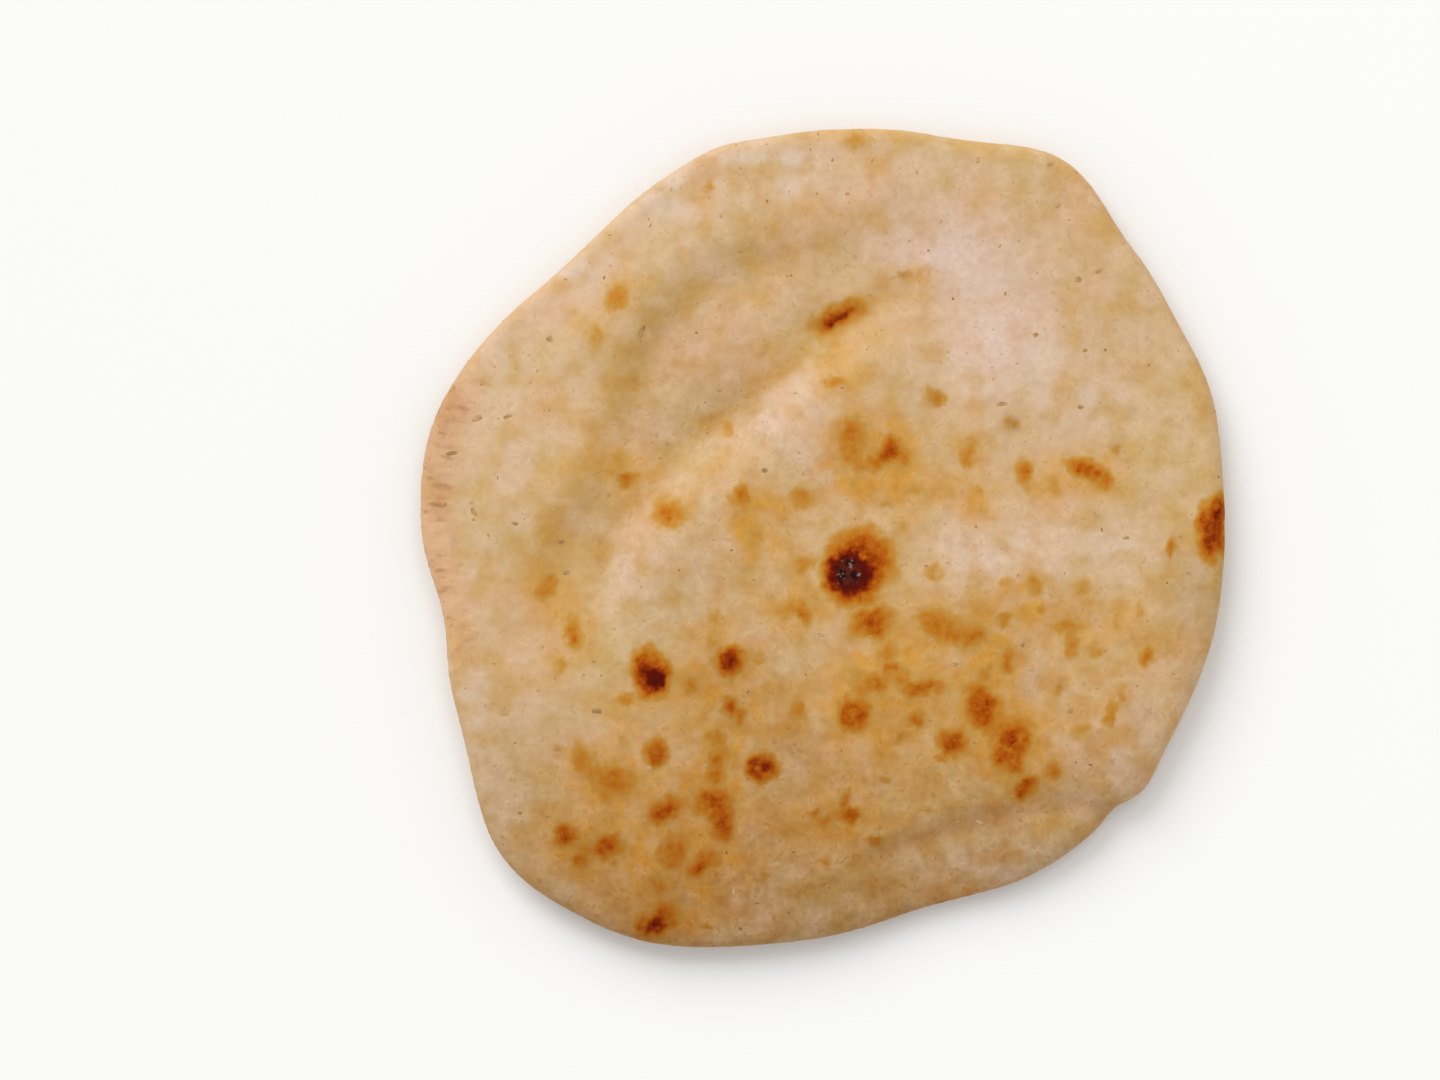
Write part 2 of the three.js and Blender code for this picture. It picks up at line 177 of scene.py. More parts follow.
YELLOW_STAINS = [
    (-46, 28, 6, 18, 0.6), (-57, 5, 5, 12, 0.6), (-54, 0, 4, 8, 0.6), (-24, 34, 14, 5, 0.4),
    (-34, 24, 14, 7, 0.5), (-36, -91, 26, 6, 0.9), (30, -64, 34, 8, 0.5), (12, -40, 36, 24, 0.4),
    (-30, -58, 30, 22, 0.25), (14, -90, 18, 5, 0.5), (12, 14, 20, 16, 0.2), (56, -20, 26, 14, 0.25),
    (-60, -28, 12, 14, 0.2), (-5, -58, 14, 12, 0.5), (0, -82, 26, 8, 0.5), (14, 50, 10, 12, 0.4),
    (10, 88, 8, 8, 0.3), (54, 8, 24, 20, 0.15), (-30, -6, 20, 20, 0.3), (-14, 71, 5, 6, 0.6),
    (-54, -87, 6, 4, 1.0), (-53.6, -64, 2.2, 2, 1.0), (43, -70, 8, 2.5, 0.8), (87.6, -12, 4, 9, 0.6),
    (-6, 73, 4, 4, 0.9), (3.6, 82, 4, 3, 0.5), (80, 40, 4, 4, 0.5), (-25.6, -92, 4, 3, 0.7),
    (11, -88, 5, 3, 0.8), (-78, -19, 7, 8, 0.7), (-68, -52, 10, 10, 0.3), (-88, 34, 6, 8, 0.3),
    (58, 66, 12, 14, 0.5), (-12, 10, 8, 8, 0.7), (-10, 69, 8, 5, 0.3), (60, -54.5, 5, 5, 0.4),
    (47, -70, 6, 3, 0.4), (52, -64, 8, 3, 0.5), (-39, 27, 5, 4, 0.3), (-71.5, 50, 6, 5, 0.8),
    (30.6, 58.5, 4, 3, 1.0), (-5.5, 75, 6, 4, 0.7), (68.5, -28, 6, 5, 0.4), (-38, 28, 4, 4, 0.3),
    (-23.5, 80.5, 5, 4, 0.5), (24, -45.5, 4, 4, 0.6), (40.5, 32.5, 4, 3, 0.25), (-39, 49, 5, 5, 0.2),
    (-86, 14, 6, 10, 0.2),
]
# Paler cream patches: partly the crust's own tone, partly painted light on lit slopes and under the painted
# sheen
PALE_AND_LIT_PATCHES = [
    (34, 66, 18, 14, 0.5), (42, 43, 18, 16, 0.45), (40, -3, 24, 7, 0.15), (64, -1, 20, 10, 0.25),
    (-8, 29, 13, 10, 0.85), (-92, 10, 8, 26, 0.15), (48, -78, 22, 7, 0.5), (0, -92, 36, 5, 0.2),
    (-6, 86, 34, 9, 0.7), (-10, 88, 9, 6, 0.3), (30, 88, 10, 6, 0.25), (-76, 40, 14, 16, 0.5),
    (-14, -24, 12, 8, 0.3), (-84, -36, 7, 20, 0.5), (-76, -60, 9, 10, 0.35), (-58, 62, 16, 12, 0.7),
    (-82, 37, 6, 8, 0.3), (-30, 85, 6, 5, 0.4), (-34, 80, 14, 8, 0.7), (24, 36, 12, 10, 0.5),
    (-44, -6, 12, 14, 0.5), (60, 34, 18, 14, 0.5), (50, 10, 26, 20, 0.45), (8, 6, 12, 8, 0.4),
    (50, -12, 20, 10, 0.6), (30, -9, 9, 5, 0.3), (-10, 12, 12, 9, 0.5), (52, -34, 9, 7, 0.6),
    (66, -48, 14, 18, 1.0), (40, -62, 16, 6, 0.3), (-62, -46, 8, 7, 0.4), (6, -25, 6, 4, 0.8),
    (30, -41, 4, 4, 0.5), (32, -31, 4, 4, 0.5), (-2, 19, 4, 6, 0.7), (-37, 11, 6, 5, 0.6),
    (-74, 10, 7, 18, 0.65), (-50, -12, 8, 8, 0.3), (-1, 30, 4, 4, 0.5), (-44, 7, 4, 4, 0.4),
    (-18, 50, 7, 6, 0.4), (-43, -1, 6, 6, 0.3), (-50, -48, 10, 8, 0.6), (-14, 83, 8, 5, 0.8),
    (40.5, -76, 9, 3.2, 1.0), (74, -5, 8, 7, 0.5), (9.5, 56, 3, 2, 0.5), (-4, 41, 6, 5, 0.7),
    (-81, -9, 5, 9, 0.6), (-28, 86.5, 7, 4, 0.6), (36, -7.5, 6, 4, 0.4), (58, 6, 7, 6, 0.4),
    (0.2, 18.7, 5, 5, 0.5), (-30, 67, 8, 5, 0.5), (-37.5, -60.8, 5, 4, 0.8), (-22.5, 30, 5, 4, 0.7),
    (13, 91, 6, 3, 0.5), (-59, -47.4, 5, 4, 0.5), (-1, -35, 4, 4, 0.6), (40.5, 22, 4, 5, 0.5),
    (67, 30.6, 6, 5, 0.5), (45, -55, 3, 3, 0.5), (-44, 9, 4, 4, 0.3), (-75, -34, 5, 6, 0.5),
    (36.7, -29.4, 3, 3, 0.5), (-59, 41, 5, 7, 0.5), (53, -10.5, 4, 3, 0.4), (-65, -24, 5, 5, 0.5),
]
# Painted sheen: a pale lilac reflection of the light on the pillow's north-east, and small pale lilac patches
# of it elsewhere
PAINTED_SHEEN_PATCHES = [
    (33, 68, 15, 11, 0.7), (42.5, 46, 11, 12, 0.9), (22, 66, 12, 5, 0.5), (37, -2.5, 13, 6, 0.38),
    (40, 64, 7, 6, 0.3), (-10, 29, 8, 6, 0.32), (-43, 0, 8, 7, 0.25), (-14, 82, 8, 5, 0.2),
    (-28.5, 86.5, 5, 4, 0.45), (-3, 92, 5, 3, 0.35), (-9, -91, 6, 3, 0.2), (-25, 45, 6, 4, 0.2),
    (-59, -48, 4, 3, 0.3), (45, -55, 3, 2.5, 0.25), (23, 51, 6, 5, 0.22),
]
ROSY_STAINS = [
    (16, 76, 24, 7, 0.6), (54, 76, 12, 16, 0.55), (-27, 42, 14, 13, 1.0), (-40, 22, 9, 6, 0.6),
    (-6, 66, 12, 10, 0.6), (84, -34, 8, 14, 0.5), (88, -12, 5.5, 10, 1.0), (72, -55, 12, 8, 0.7),
    (30, 78, 12, 8, 0.3), (45, -76, 20, 6, 0.2), (-10, -53, 8, 6, 0.4), (66, 58, 12, 14, 0.5),
    (17.5, 82, 4, 3, 0.4), (50, 60, 4, 4, 0.5), (-39, 27, 5, 4, 0.4), (-88, 28, 6, 12, 0.5),
    (-22, 50, 9, 6, 0.4),
]
# Painted shade in the dips, troughs and creases and along the rim, added to the south side's painted shade; a
# few of these are the crust's own brown marks round its spots
SHADE_DIPS_AND_MARKS = [
    (-22, -36, 17, 11, 0.42), (-32, 38, 10, 9, 0.18), (-6, 57, 7, 6, 0.3), (-24, 50, 8, 6, 0.12),
    (88, -14, 5, 10, 0.34), (-7, -51, 9, 8, 0.38), (75, -41, 4, 8, 0.3), (-91, 28, 5, 14, 0.35),
    (72, -56, 4, 4, 0.3), (-92, 10, 4, 10, 0.15), (-39, 27, 5, 4, 0.1), (-70, -52, 8, 9, 0.05),
    (-16, 22, 7, 5, 0.1), (-89, 32, 6, 8, 0.22), (-52, 10, 8, 8, 0.1), (-30, 30, 8, 8, 0.08),
    (-28, -8, 10, 10, 0.1), (-10, -70, 9, 8, 0.15), (10, -88, 10, 5, 0.25), (42, -69.5, 6, 2, 0.35),
    (-55, -88, 7, 4, 0.42), (-25, -93, 5, 3, 0.65), (60, -54.5, 5, 5, 0.15), (17, 81.5, 4, 3, 0.25),
    (13, -72, 2.4, 1.5, 0.5), (14.5, -57.3, 2.2, 1.8, 0.3), (18.7, -47, 2, 1.8, 0.25),
    (14.6, 8.2, 2.6, 1.4, 0.35), (-13.7, -80, 2, 2, 0.4), (56.2, -35.3, 1.9, 2.8, 0.35),
    (-62.6, -50, 1.6, 1.2, 0.35), (-24, -87, 1.4, 1.2, 0.3), (22.5, -77.9, 2.6, 1.6, 0.25),
    (87.7, -7.2, 1.2, 2.2, 0.15), (82.8, -2, 1.4, 2.4, 0.2), (-46.1, 14, 2.4, 2, 0.35),
    (83.9, -31.3, 4, 6, 0.25), (-19.2, -82.2, 2.2, 1.8, 0.35), (60, -63, 4, 2, 0.1),
    (74.4, -40.3, 4, 5, 0.12), (-18, -70, 6, 5, 0.22), (48, -35.5, 4, 4, 0.34), (-42.4, 27, 5, 5, 0.13),
    (40.5, 32.5, 4, 3, 0.22), (-20.4, 57, 6, 5, 0.14), (-10.9, -79.5, 5, 4, 0.36), (-27, -28.4, 3, 4, 0.16),
    (22, -77.5, 5, 4, 0.15), (-72.7, -42.4, 6, 5, 0.12), (31, 2.8, 5, 4, 0.13), (6.4, -33, 4, 3, 0.16),
    (37.4, -68.5, 5, 3, 0.14), (57, -2, 8, 5, 0.07), (66, -36, 8, 8, 0.05), (44.5, -66, 6, 3, 0.1),
    (49.5, 59, 5, 4, 0.11), (-38, 28, 4, 4, 0.08), (80.5, -3.8, 3, 5, 0.12), (38.4, 52, 5, 4, 0.1),
    (-53, 56, 4, 4, 0.1), (31.5, 74, 6, 4, 0.1), (4.3, 81, 6, 4, 0.1), (-10, 28, 9, 6, 0.05),
    (-15.5, -57.3, 3, 2, 0.15), (15, -39, 4, 4, 0.12), (-15.2, -23.2, 4, 4, 0.14), (-2, -27.7, 4, 3, 0.1),
    (60, 24.4, 4, 4, 0.1), (57.8, -34, 4, 4, 0.1), (-19, -31.5, 3, 3, 0.12), (51, -41.5, 4, 5, 0.1),
    (44.6, 27.3, 2.5, 2.5, 0.7), (26.7, 33.4, 2.8, 3, 0.4), (19, 62.2, 2.2, 1.1, 0.7),
    (31.5, 57.8, 2, 1.6, 0.3), (74, 39, 1.3, 2.4, 0.35), (73.6, 29.8, 1.5, 1.6, 0.4),
    (77.2, 8.7, 1.7, 1.6, 0.4), (69.6, 21.2, 2.2, 2.2, 0.4), (82.6, 27.6, 1.4, 1.4, 0.3),
    (0.4, 50.6, 3.4, 2, 0.6), (8.4, 54.4, 3.4, 2, 0.6), (4.6, 52.6, 4, 2.6, 0.3),
]

# Where the crust faces, from -1 for down to 1 for up: how its foot turns into its top, and where its rim is
TOP_FACING = (-0.25, 0.25)
RIM_FACING = (0.35, 0.9)
# The heights in mm between which the relief fades in above the table
TABLE_CLEARANCE = (0.05, 1.2)
# The crust is painted darker towards the south, as painted shade where the light falls off, between these
# distances south of the middle, in mm, along a front that bends, leans and wavers
SHADE_FRONT = (22, 94)
SHADE_BEND = 0.12
SHADE_LEAN = 0.04
SHADE_WAVER = 4
SHADE_WAVER_SIZE = 30
SHADE_SEED = 5
# The mottle is calmer in the west and north and stronger in the south: how much, and over which mm
WEST_CALM = 0.36
WEST_CALM_FROM = (35, 60)
NORTH_CALM = 0.27
NORTH_CALM_FROM = (10, 50)
NORTH_CALM_LEAN = 0.5
SOUTH_MOTTLE = 0.4
SOUTH_MOTTLE_FROM = (40, 80)

# The rim, by its share of the loaf's reach. Its side that faces the window is painted paler, as painted
# light.
LIT_RIM = (0.84, 0.95)
LIT_RIM_AZIMUTH = math.radians(165)
LIT_RIM_FADE = (0.2, 0.7)
LIT_RIM_SHARE = 0.32
PLEATED_RIM = (0.88, 0.95)
PLEATS_END = (0.96, 1)
PLEATS_LOST = 0.7
WRINKLED_RIM = (0.89, 0.95)
# The west side's azimuths in degrees, where the wrinkles begin and end, and the pleats' share elsewhere
WEST_BEGINS = (146, 160)
WEST_ENDS = (188, 205)
PLEATS_ELSEWHERE = 0.25
WRINKLE_COUNTS = (90, 260)
WRINKLE_SLANT = 0.7
WRINKLE_SEED = 21

# Relief that geometry nodes add to the crust, as the inputs of their tree
RELIEF = {
    "Blister size": 9 * MM,
    "Blister height": 0.32 * MM,
    "Pucker size": 3.4 * MM,
    "Pucker height": 0.14 * MM,
    "Spot swell": 0.3 * MM,
    "Pleat height": 0.14 * MM,
    "Crease depth": 0.4 * MM,
    "Seed": 3.0,
}
# How far char sags, as a share of a spot's swelling
CHAR_SAG = -1.2

# The grain sizes of the crust's patterns
CLOUD_SIZE = 26 * MM
MOTTLE_SIZE = 6.5 * MM
GRAIN_SIZE = 2.1 * MM
DUST_SIZE = 0.6 * MM
MARK_SIZE = 2.1 * MM
PATCH_SIZE = 5.2 * MM
SPECK_SIZE = 1.5 * MM
FRAY_SIZE = 1.7 * MM
GLOSS_SIZE = 7 * MM
PIT_SIZE = 0.9 * MM
CRUMB_SIZE = 2.6 * MM
# The rim's fine strokes: the radius they are drawn at, the shortening that draws them out, and their width
STROKE_RADIUS = 90 * MM
STROKE_SHORTENING = 0.28
STROKE_SIZE = 1.9 * MM

# How strongly the crust's mottle, grain, dust and marks darken and lighten its colour, and the painted glints
# in the sheen lighten it
MOTTLE_DEPTH = 0.61
GRAIN_DEPTH = 0.49
DUST_DEPTH = 0.08
MARK_DEPTH = 0.2
GLINT_DEPTH = 0.2
# The fine grain's strength at the least, and what the painted shade and the mottle add to it
LEAST_GRAIN = 0.36
SHADE_GRAIN = 0.35
MOTTLED_GRAIN = 0.5
# How much red, green and blue each follow the mottle and the grain: broad dark patches are a warmer brown
MOTTLE_TINT = (0.45, 1.0, 1.5)
GRAIN_TINT = (0.84, 1.0, 1.25)
# What the crust's colour is multiplied by where the painted shade is deepest
PAINTED_SHADE_TINT = (0.72, 0.64, 0.56, 1)

# Colours, as red, green and blue from 0 to 255. Bare crust runs between two tans.
TAN = (212, 176, 130)
OCHRE = (205, 168, 107)
GLINT_WHITE = (236, 212, 196)
STROKE_BROWN = (168, 112, 70)
SOOT = (36, 16, 10)
EMBER = (92, 30, 18)
CHAR_SPECK_GREY = (160, 128, 120)
# Stains and painted light by their attribute, with the share and colour of each, in the order that they are
# laid on.
# The pale one is partly painted light.
UNDER_STAINS = [
    ("pale", 0.9, (218, 192, 169)), ("yellow", 0.6, (198, 157, 92)), ("rosy", 0.7, (201, 161, 127)),
]
# Painted sheen, a pale lilac reflection of the light
PAINTED_SHEEN_LAYER = [("painted_sheen", 0.84, (221, 193, 178))]
# The crease colour is painted shade, a darker brown in the folds' creases
RIM_STAINS_AND_CREASE_SHADE = [("wrinkled", 0.65, (220, 170, 128)), ("crease", 0.5, (164, 112, 62))]
EDGE_STAINS = [("foot", 0.5, (206, 164, 108)), ("rim", 0.35, (213, 177, 130))]
# Stains broken into patches: also the patches' range, and the share that is left between them
PATCHY_STAINS = [
    ("olive", 0.3, 0.6, 0.35, 0.82, (191, 145, 64)), ("gold", 0.32, 0.64, 0.5, 0.95, (210, 150, 61)),
]
# Noise that turns the hue: its size and detail, and the share and colour where it is high and where it is low
HUE_TURNS = [
    (16 * MM, 1.0, (0.5, (217, 168, 122)), (0.6, (204, 174, 124))),
    (6.5 * MM, 0.5, (0.6, (213, 176, 140)), (0.6, (205, 163, 90))),
]
HIGH_NOISE = (0.46, 0.74)
LOW_NOISE = (0.54, 0.26)
# The colours of toasting, from bare crust to nearly burnt
TOAST_COLOURS = [
    (0.0, (207, 162, 87)), (0.2, (197, 150, 74)), (0.34, (197, 136, 51)), (0.5, (190, 115, 26)),
    (0.64, (178, 84, 6)), (0.76, (144, 50, 2)), (0.88, (104, 20, 2)), (1.0, (84, 14, 4)),
]
BRAN_COLOURS = [(0.3, (152, 114, 78)), (0.38, (178, 136, 94)), (0.5, (200, 158, 112)), (0.7, (208, 170, 124))]
DARK_BRAN_COLOURS = [(0.35, (164, 124, 80)), (0.65, (200, 162, 112))]

# Bran flakes. The dark flecks that show best are placed: east and north in mm, half length and half
# width in mm, and turn in degrees. The others are strewn.
FLECKS = [
    (-74.3, 28.8, 1.2, 0.5, 25), (-81.8, 28.3, 1.6, 0.6, 20), (-87.6, 20, 1.5, 0.5, 5),
    (-93.2, 14.4, 0.8, 0.5, -20), (-82.6, 6.2, 1.1, 0.6, -55), (-72.8, 3.4, 0.8, 0.5, -15),
    (-61.8, -1, 0.7, 0.6, 0), (-64.6, 47.2, 1, 0.8, 20), (-60.5, -8.2, 0.8, 0.6, 0),
    (-13.6, 16, 0.7, 0.6, 0), (-50.8, 10.2, 0.7, 0.7, 0), (54, 88.7, 0.8, 0.7, 0), (55.6, 79, 1, 0.9, 0),
    (60.5, 61.2, 0.9, 0.7, 0), (62.3, 44.4, 0.7, 0.6, 0), (50.6, 48.2, 0.7, 0.6, 0),
    (65.6, 63.3, 1.5, 0.5, 30), (61.2, 31, 1, 0.6, -10), (65, 5.4, 1, 0.5, -20), (72, 0, 0.9, 0.4, 10),
    (85.7, -11.9, 0.6, 0.6, 0), (62.2, -51.9, 1.1, 0.8, 15), (58.8, -41, 0.8, 0.5, 0),
    (47.4, -25.3, 0.7, 0.6, 0), (36.4, -48.4, 0.8, 0.5, 10), (-0.3, -23, 0.8, 0.5, 0),
    (31.3, -30, 0.9, 0.6, 0), (37.6, -67.4, 1.4, 0.5, -25), (-21, -83.8, 1, 0.4, 90),
    (-41.2, -54.5, 0.7, 0.7, 0), (-53.5, -41, 1.4, 0.8, 0), (-75.2, -41.3, 1.3, 1, 10),
    (-10.8, -77.3, 1.2, 0.8, 0), (42.4, 31.7, 1.6, 0.6, 5), (-24.4, 54.6, 1.1, 0.5, 90),
    (-24.2, 35, 0.7, 0.5, 0), (6, 81.5, 0.6, 0.5, 0), (-42.8, 48.5, 2.2, 0.7, 65),
    (-17.8, 33.6, 1.2, 0.6, 0), (-60.2, -59.2, 0.9, 0.7, 0),
]
FLECK_THICKNESS = 0.09
FLECK_RAGGEDNESS = 0.22
FLECK_SEED = 4
FLAKES = {
    "Flakes per square metre": 14000.0,
    "Flake size": 1.0 * MM,
    "Flake thickness": 0.14,
    "Seed": 8,
}
# The least and the most of a strewn flake's length and width, as shares of the flake size
FLAKE_LEAST = (0.35, 0.25, 1.0)
FLAKE_MOST = (1.3, 0.7, 1.0)

# The stage
FLOOR_REACH = 6.0
FLOOR_DROP = 0.1 * MM
FLOOR_COLOUR = (252, 252, 251)
SKY_STRENGTH = 0.62
WINDOW_PLACE = (-0.6, 1.0, 0.85)
WINDOW_SPREAD = 40
WINDOW_STRENGTH = 1.6
SOFTBOX_PLACE = (0.35, 0.9, 1.7)
SOFTBOX_SIZE = 0.6
SOFTBOX_POWER = 3.0


def srgb(red, green, blue):
    """A colour as it is seen, 0 to 255, as linear light for a shader."""
    parts = [channel / 255 for channel in (red, green, blue)]
    linear = [p / 12.92 if p <= 0.04045 else ((p + 0.055) / 1.055) ** 2.4 for p in parts]
    return (*linear, 1.0)


# The crust's mesh

def evaluated_mesh(obj, name):
    """What obj and its modifiers make, as a plain mesh of its own."""
    depsgraph = bpy.context.evaluated_depsgraph_get()
    mesh = bpy.data.meshes.new_from_object(
        obj.evaluated_get(depsgraph), preserve_all_data_layers=True, depsgraph=depsgraph)
    mesh.name = name
    return mesh


def add_object(name, mesh):
    obj = bpy.data.objects.new(name, mesh)
    bpy.context.scene.collection.objects.link(obj)
    return obj


def merged_copy(node):
    """A copy of a node's mesh whose loose triangles are joined into one skin."""
    copy = add_object("merged", node.data.copy())
    copy.data.materials.clear()
    weld = copy.modifiers.new("weld", "WELD")
    weld.merge_threshold = WELD_REACH
    mesh = evaluated_mesh(copy, "merged")
    bpy.data.objects.remove(copy)
    return mesh


def fine_skin(node):
    """The loaf's solid as an even mesh of small faces, with its facets smoothed away."""
    skin = add_object("skin", merged_copy(node))
    rounding = skin.modifiers.new("rounding", "SUBSURF")
    rounding.levels = rounding.render_levels = ROUNDING_LEVELS
    remesh = skin.modifiers.new("remesh", "REMESH")
    remesh.mode = "VOXEL"
    remesh.voxel_size = VOXEL
    smooth = skin.modifiers.new("smooth", "SMOOTH")
    smooth.factor = SMOOTHING
    smooth.iterations = SMOOTHING_STEPS
    mesh = evaluated_mesh(skin, "crust")
    bpy.data.objects.remove(skin)
    return mesh


# What the crust's attributes say

def read_vectors(items, name):
    values = np.zeros(len(items) * 3, np.float32)
    items.foreach_get(name, values)
    return values.reshape(-1, 3).astype(float)


def store(mesh, name, values):
    attribute = mesh.attributes.new(name, "FLOAT", "POINT")
    attribute.data.foreach_set("value", values.astype(np.float32))


def ease(values, low, high):
    """0 below low, 1 above high, and smooth between them."""
    share = np.clip((values - low) / (high - low), 0, 1)
    return share * share * (3 - 2 * share)


def waver(east, north, size, seed, waves=9, shortest=1.5, longest=3.2):
    """A smooth field of about -1 to 1 whose hills are about size across."""
    rng = np.random.default_rng(seed)
    total = np.zeros_like(east)
    for _ in range(waves):
        turn, phase = rng.uniform(0, 2 * math.pi, 2)
        length = size * rng.uniform(shortest, longest)
        along = east * math.cos(turn) + north * math.sin(turn)
        total += np.sin(2 * math.pi * along / length + phase)
    return total / math.sqrt(waves)


def as_seen(east, north, height):
    """Where the camera sees each place, in mm, at the level of the rim, where the spots are measured."""
    closer = (CAMERA_HEIGHT - RIM_HEIGHT) / (CAMERA_HEIGHT - height * MM)
    middle_east, middle_north = FRAME_MIDDLE[0] / MM, FRAME_MIDDLE[1] / MM
    return middle_east + (east - middle_east) * closer, middle_north + (north - middle_north) * closer


def stray(east, north, first_seed):
    """An uneven shift of up to a millimetre or so."""
    total = 0
    for seed, (shift, size) in enumerate(STRAY_WAVES, first_seed):
        total = total + shift * waver(east, north, size, seed)
    return total


def astray(east, north):
    """The same places, led astray a little, which makes what is drawn there ragged."""
    shift_east, shift_north = (stray(east, north, seed) for seed in STRAY_SEEDS)
    return east + shift_east, north + shift_north


def distance_from(east, north, spot, margin=0.0):
    """How far each point is from a spot's middle, where 1 is its edge, moved out by margin."""
    x, y, half_x, half_y, turn = spot
    cosine, sine = math.cos(math.radians(turn)), math.sin(math.radians(turn))
    along = (east - x) * cosine + (north - y) * sine
    across = (north - y) * cosine - (east - x) * sine
    return np.hypot(along / (half_x + margin), across / (half_y + margin))


def spot_field(east, north, spots, abruptness=3):
    """How much each point lies in one of the spots, from 0 to 1."""
    bare = np.ones_like(east)
    for spot in spots:
        away = distance_from(east, north, spot) / SPOT_SPREAD
        bare *= 1 - np.exp(-SPOT_FALL * away ** abruptness)
    return 1 - bare


def stain_field(east, north, stains):
    """The sum of soft stains, at most 1."""
    total = np.zeros_like(east)
    for x, y, half_x, half_y, strength in stains:
        total += strength * np.exp(-((east - x) / half_x) ** 2 - ((north - y) / half_y) ** 2)
    return np.clip(total, 0, 1)


def line_field(east, north, route, half_width):
    """1 on a line and 0 away from it, fading out over the line's two ends."""
    nearest = np.full_like(east, np.inf)
    passed = np.zeros_like(east)
    points = np.array(route, float)
    lengths = np.hypot(*np.diff(points, axis=0).T)
    starts = np.concatenate([[0], np.cumsum(lengths)])
    for start, end, length, before in zip(points, points[1:], lengths, starts):
        along = (end - start) / length
        run = np.clip((east - start[0]) * along[0] + (north - start[1]) * along[1], 0, length)
        away = np.hypot(east - start[0] - run * along[0], north - start[1] - run * along[1])
        passed = np.where(away < nearest, (before + run) / starts[-1], passed)
        nearest = np.minimum(nearest, away)
    ends = ease(passed, *LINE_FADES_IN) * (1 - ease(passed, *LINE_FADES_OUT))
    return ends * np.exp(-(nearest / half_width) ** 2)


def glow_field(east, north):
    """The golden glow round the toasted spots, which adds up where they crowd together."""
    total = stain_field(east, north, GOLDEN_STAINS)
    for spot in BROWN_SPOTS + AMBER_SPOTS + GOLDEN_SPOTS + FAINT_SPOTS:
        total += GLOW_SHARE * np.exp(-(distance_from(east, north, spot, GLOW_MARGIN) / GLOW_REACH) ** 2)
    return np.clip(total, 0, 1)


def rim_wrinkles(azimuth, reach, waves=24):
    """Uneven short wrinkles across the rim, of about -1 to 1, at places given by azimuth and reach."""
    rng = np.random.default_rng(WRINKLE_SEED)
    total = np.zeros_like(azimuth)
    for _ in range(waves):
        count = rng.integers(*WRINKLE_COUNTS)
        slant = rng.uniform(-WRINKLE_SLANT, WRINKLE_SLANT)
        total += np.sin(count * azimuth + slant * reach + rng.uniform(0, 2 * math.pi))
    return total / math.sqrt(waves)


def rim_share(azimuth, reach, steps=360):
    """How far out each place lies, as a share of the loaf's reach that way."""
    turn = np.minimum((azimuth / (2 * math.pi) * steps).astype(int), steps - 1)
    furthest = np.zeros(steps)
    np.maximum.at(furthest, turn, reach)
    return reach / furthest[turn]


def top_toast(east, north):
    """How toasted the top crust is by its photographed spots."""
    toast = np.zeros_like(east)
    for spots, tone, abruptness in TONES:
        toast = np.maximum(toast, tone * spot_field(east, north, spots, abruptness))
    return np.maximum(toast - stain_field(east, north, FLAKED), 0)


def foot_toast(east, north):
    """How toasted the foot is by spots strewn by rule."""
    rng = np.random.default_rng(FOOT_SEED)
    toast = np.zeros_like(east)
    for tone, share in FOOT_SPOT_KINDS:
        count = round(FOOT_SPOT_COUNT * share)
        reach = FOOT_SPOT_REACH * np.sqrt(rng.uniform(0, 1, count))
        azimuth = rng.uniform(0, 2 * math.pi, count)
        sizes = rng.uniform(*FOOT_SPOT_SIZES, (count, 2))
        turns = rng.uniform(0, 180, count)
        spots = np.column_stack([reach * np.cos(azimuth), reach * np.sin(azimuth), sizes, turns])
        toast = np.maximum(toast, tone * spot_field(east, north, spots))
    return toast


def paint_spots(mesh, east, north, on_top):
    store(mesh, "toast", top_toast(east, north) * on_top + foot_toast(east, north) * (1 - on_top))
    store(mesh, "char", spot_field(east, north, CHARRED) * on_top)
    store(mesh, "gold", glow_field(east, north) * on_top)


def paint_lines(mesh, east, north, on_top):
    pillow = line_field(east, north, PILLOW_LINE, PILLOW_HALF_WIDTH)
    outer = line_field(east, north, OUTER_LINE, OUTER_HALF_WIDTH)
    notch = line_field(east, north, NOTCH_LINE, NOTCH_HALF_WIDTH)
    store(mesh, "olive", np.clip(PILLOW_OLIVE * pillow + OUTER_OLIVE * outer, 0, 1) * on_top)
    # The creases are cut into the relief and painted darker, as painted shade
    store(mesh, "crease", np.clip(PILLOW_CREASE * pillow + notch, 0, 1) * on_top)


def paint_shade_and_mottle(mesh, east, north, dips):
    """The painted shade of the south side, where the light falls off, and of the dips, and how mottled each
    side is.
    """
    front = -north - SHADE_BEND * np.abs(east) - SHADE_LEAN * east
    front += SHADE_WAVER * waver(east, north, SHADE_WAVER_SIZE, SHADE_SEED)
    store(mesh, "shade", np.clip(ease(front, *SHADE_FRONT) + dips, 0, 1))
    calm = WEST_CALM * ease(-east, *WEST_CALM_FROM)
    calm += NORTH_CALM * ease(north + NORTH_CALM_LEAN * east, *NORTH_CALM_FROM)
    store(mesh, "mottled", 1 - calm + SOUTH_MOTTLE * ease(-north, *SOUTH_MOTTLE_FROM))


